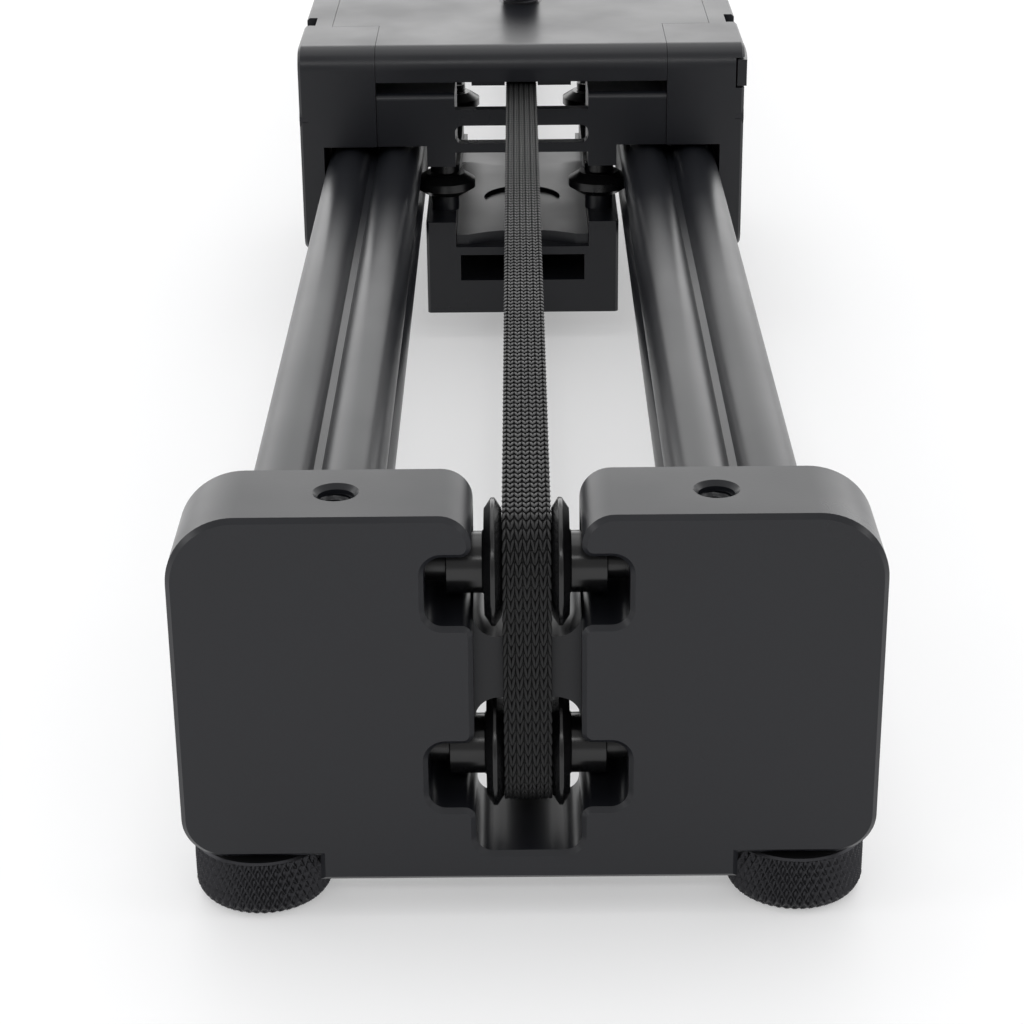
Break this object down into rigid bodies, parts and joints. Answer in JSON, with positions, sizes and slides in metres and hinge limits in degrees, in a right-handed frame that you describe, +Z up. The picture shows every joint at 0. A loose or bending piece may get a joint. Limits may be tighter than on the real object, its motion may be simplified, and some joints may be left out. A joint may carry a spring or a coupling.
{
  "type": "camera slider",
  "caption": "Double-travel camera slider: two lobed rails between end blocks with a flat belt loop that drives a camera carriage and a base carriage in opposite directions.",
  "frame": {"origin": "on the table, under the middle of the slider", "axes": "+Z up, +Y along the rails away from the front end block, +X to the right"},
  "size_m": [0.1022, 0.6016, 0.0786],
  "materials": {
    "black_anodised_aluminium": "satin",
    "gloss_black_aluminium": "gloss",
    "black_knitted_belt": "matte",
    "black_knurled_steel": "satin",
    "black_acetal": "matte",
    "bright_steel": "satin",
    "black_oxide_steel": "satin"
  },
  "bodies": {
    "rail_frame": {"end_block_front": "black_anodised_aluminium", "end_block_rear": "black_anodised_aluminium", "rail_left": "black_anodised_aluminium", "rail_right": "black_anodised_aluminium", "drive_belt": "black_knitted_belt", "pulley_pins_front": "bright_steel", "pulley_pins_rear": "bright_steel", "pin_plugs": "black_oxide_steel", "rail_set_screws": "black_oxide_steel"},
    "camera_carriage": {"top_cover": "black_anodised_aluminium", "side_frame_left": "black_anodised_aluminium", "side_frame_right": "black_anodised_aluminium", "cross_bridge_front": "black_anodised_aluminium", "cross_bridge_rear": "black_anodised_aluminium", "glide_pads_left": "black_acetal", "glide_pads_right": "black_acetal", "top_roller_axles": "bright_steel", "camera_stud": "black_oxide_steel", "upper_clamp_jaw": "black_anodised_aluminium", "lower_clamp_jaw": "black_anodised_aluminium", "clamp_screws": "black_oxide_steel", "cover_screws": "black_oxide_steel", "bridge_screws": "black_oxide_steel", "lever_pin": "bright_steel"},
    "base_carriage": {"base_body": "black_anodised_aluminium", "base_lid": "black_anodised_aluminium", "lid_screws": "black_oxide_steel", "base_belt_clamp": "black_anodised_aluminium", "base_clamp_screws": "black_oxide_steel", "base_roller_axles": "bright_steel"},
    "lock_lever": {"lock_lever": "black_anodised_aluminium"},
    "pulley_front_upper": {"pulley_front_upper": "gloss_black_aluminium", "pulley_bearings_front_upper": "bright_steel"},
    "pulley_front_lower": {"pulley_front_lower": "gloss_black_aluminium", "pulley_bearings_front_lower": "bright_steel"},
    "pulley_rear_upper": {"pulley_rear_upper": "gloss_black_aluminium", "pulley_bearings_rear_upper": "bright_steel"},
    "pulley_rear_lower": {"pulley_rear_lower": "gloss_black_aluminium", "pulley_bearings_rear_lower": "bright_steel"},
    "top_roller_front_left": {"top_roller_front_left": "bright_steel"},
    "base_roller_front_left": {"base_roller_front_left": "bright_steel"},
    "top_roller_front_right": {"top_roller_front_right": "bright_steel"},
    "base_roller_front_right": {"base_roller_front_right": "bright_steel"},
    "top_roller_rear_left": {"top_roller_rear_left": "bright_steel"},
    "base_roller_rear_left": {"base_roller_rear_left": "bright_steel"},
    "top_roller_rear_right": {"top_roller_rear_right": "bright_steel"},
    "base_roller_rear_right": {"base_roller_rear_right": "bright_steel"},
    "foot_stud_front_left": {"foot_stud_front_left": "black_oxide_steel"},
    "foot_wheel_front_left": {"foot_wheel_front_left": "black_knurled_steel"},
    "foot_stud_front_right": {"foot_stud_front_right": "black_oxide_steel"},
    "foot_wheel_front_right": {"foot_wheel_front_right": "black_knurled_steel"},
    "foot_stud_rear_left": {"foot_stud_rear_left": "black_oxide_steel"},
    "foot_wheel_rear_left": {"foot_wheel_rear_left": "black_knurled_steel"},
    "foot_stud_rear_right": {"foot_stud_rear_right": "black_oxide_steel"},
    "foot_wheel_rear_right": {"foot_wheel_rear_right": "black_knurled_steel"}
  },
  "joints": [
    {"name": "camera_slide", "type": "slide", "parent": "rail_frame", "child": "camera_carriage", "axis": [0, 1, 0], "range_m": [-0.2315, 0.2315]},
    {"name": "base_slide", "type": "slide", "parent": "rail_frame", "child": "base_carriage", "axis": [0, 1, 0], "range_m": [-0.2315, 0.2315]},
    {"name": "lever_swing", "type": "hinge", "parent": "camera_carriage", "child": "lock_lever", "pos_m": [0.0476, -0.013, 0.063], "axis": [0, 0, 1], "range_deg": [0, 100]},
    {"name": "pulley_front_upper_spin", "type": "hinge", "parent": "rail_frame", "child": "pulley_front_upper", "pos_m": [0, -0.2906, 0.0526], "axis": [1, 0, 0], "continuous": true},
    {"name": "pulley_front_lower_spin", "type": "hinge", "parent": "rail_frame", "child": "pulley_front_lower", "pos_m": [0, -0.2906, 0.0236], "axis": [1, 0, 0], "continuous": true},
    {"name": "pulley_rear_upper_spin", "type": "hinge", "parent": "rail_frame", "child": "pulley_rear_upper", "pos_m": [0, 0.2906, 0.0526], "axis": [1, 0, 0], "continuous": true},
    {"name": "pulley_rear_lower_spin", "type": "hinge", "parent": "rail_frame", "child": "pulley_rear_lower", "pos_m": [0, 0.2906, 0.0236], "axis": [1, 0, 0], "continuous": true},
    {"name": "top_roller_front_left_spin", "type": "hinge", "parent": "camera_carriage", "child": "top_roller_front_left", "pos_m": [-0.034, -0.037, 0.05074], "axis": [1, 0, 0], "continuous": true},
    {"name": "base_roller_front_left_spin", "type": "hinge", "parent": "base_carriage", "child": "base_roller_front_left", "pos_m": [-0.018, -0.038, 0.0348], "axis": [0, 0, 1], "continuous": true},
    {"name": "top_roller_front_right_spin", "type": "hinge", "parent": "camera_carriage", "child": "top_roller_front_right", "pos_m": [0.034, -0.037, 0.05074], "axis": [1, 0, 0], "continuous": true},
    {"name": "base_roller_front_right_spin", "type": "hinge", "parent": "base_carriage", "child": "base_roller_front_right", "pos_m": [0.018, -0.038, 0.0348], "axis": [0, 0, 1], "continuous": true},
    {"name": "top_roller_rear_left_spin", "type": "hinge", "parent": "camera_carriage", "child": "top_roller_rear_left", "pos_m": [-0.034, 0.037, 0.05074], "axis": [1, 0, 0], "continuous": true},
    {"name": "base_roller_rear_left_spin", "type": "hinge", "parent": "base_carriage", "child": "base_roller_rear_left", "pos_m": [-0.018, 0.038, 0.0348], "axis": [0, 0, 1], "continuous": true},
    {"name": "top_roller_rear_right_spin", "type": "hinge", "parent": "camera_carriage", "child": "top_roller_rear_right", "pos_m": [0.034, 0.037, 0.05074], "axis": [1, 0, 0], "continuous": true},
    {"name": "base_roller_rear_right_spin", "type": "hinge", "parent": "base_carriage", "child": "base_roller_rear_right", "pos_m": [0.018, 0.038, 0.0348], "axis": [0, 0, 1], "continuous": true},
    {"name": "foot_front_left_lift", "type": "slide", "parent": "rail_frame", "child": "foot_stud_front_left", "axis": [0, 0, -1], "range_m": [0, 0.004]},
    {"name": "foot_front_left_turn", "type": "hinge", "parent": "foot_stud_front_left", "child": "foot_wheel_front_left", "pos_m": [-0.0393, -0.2906, 0.005], "axis": [0, 0, -1], "range_deg": [0, 1440]},
    {"name": "foot_front_right_lift", "type": "slide", "parent": "rail_frame", "child": "foot_stud_front_right", "axis": [0, 0, -1], "range_m": [0, 0.004]},
    {"name": "foot_front_right_turn", "type": "hinge", "parent": "foot_stud_front_right", "child": "foot_wheel_front_right", "pos_m": [0.0393, -0.2906, 0.005], "axis": [0, 0, -1], "range_deg": [0, 1440]},
    {"name": "foot_rear_left_lift", "type": "slide", "parent": "rail_frame", "child": "foot_stud_rear_left", "axis": [0, 0, -1], "range_m": [0, 0.004]},
    {"name": "foot_rear_left_turn", "type": "hinge", "parent": "foot_stud_rear_left", "child": "foot_wheel_rear_left", "pos_m": [-0.0393, 0.2906, 0.005], "axis": [0, 0, -1], "range_deg": [0, 1440]},
    {"name": "foot_rear_right_lift", "type": "slide", "parent": "rail_frame", "child": "foot_stud_rear_right", "axis": [0, 0, -1], "range_m": [0, 0.004]},
    {"name": "foot_rear_right_turn", "type": "hinge", "parent": "foot_stud_rear_right", "child": "foot_wheel_rear_right", "pos_m": [0.0393, 0.2906, 0.005], "axis": [0, 0, -1], "range_deg": [0, 1440]}
  ],
  "couplings": [
    {"joint": "base_slide", "follows": "camera_slide", "ratio": -1},
    {"joint": "pulley_front_upper_spin", "follows": "camera_slide", "rad_per_m": -134.23},
    {"joint": "pulley_front_lower_spin", "follows": "camera_slide", "rad_per_m": -134.23},
    {"joint": "pulley_rear_upper_spin", "follows": "camera_slide", "rad_per_m": -134.23},
    {"joint": "pulley_rear_lower_spin", "follows": "camera_slide", "rad_per_m": -134.23},
    {"joint": "top_roller_front_left_spin", "follows": "camera_slide", "rad_per_m": -158.23},
    {"joint": "base_roller_front_left_spin", "follows": "camera_slide", "rad_per_m": -158.23},
    {"joint": "top_roller_front_right_spin", "follows": "camera_slide", "rad_per_m": -158.23},
    {"joint": "base_roller_front_right_spin", "follows": "camera_slide", "rad_per_m": 158.23},
    {"joint": "top_roller_rear_left_spin", "follows": "camera_slide", "rad_per_m": -158.23},
    {"joint": "base_roller_rear_left_spin", "follows": "camera_slide", "rad_per_m": -158.23},
    {"joint": "top_roller_rear_right_spin", "follows": "camera_slide", "rad_per_m": -158.23},
    {"joint": "base_roller_rear_right_spin", "follows": "camera_slide", "rad_per_m": 158.23},
    {"joint": "foot_front_left_turn", "follows": "foot_front_left_lift", "rad_per_m": 6283.2},
    {"joint": "foot_front_right_turn", "follows": "foot_front_right_lift", "rad_per_m": 6283.2},
    {"joint": "foot_rear_left_turn", "follows": "foot_rear_left_lift", "rad_per_m": 6283.2},
    {"joint": "foot_rear_right_turn", "follows": "foot_rear_right_lift", "rad_per_m": 6283.2}
  ]
}
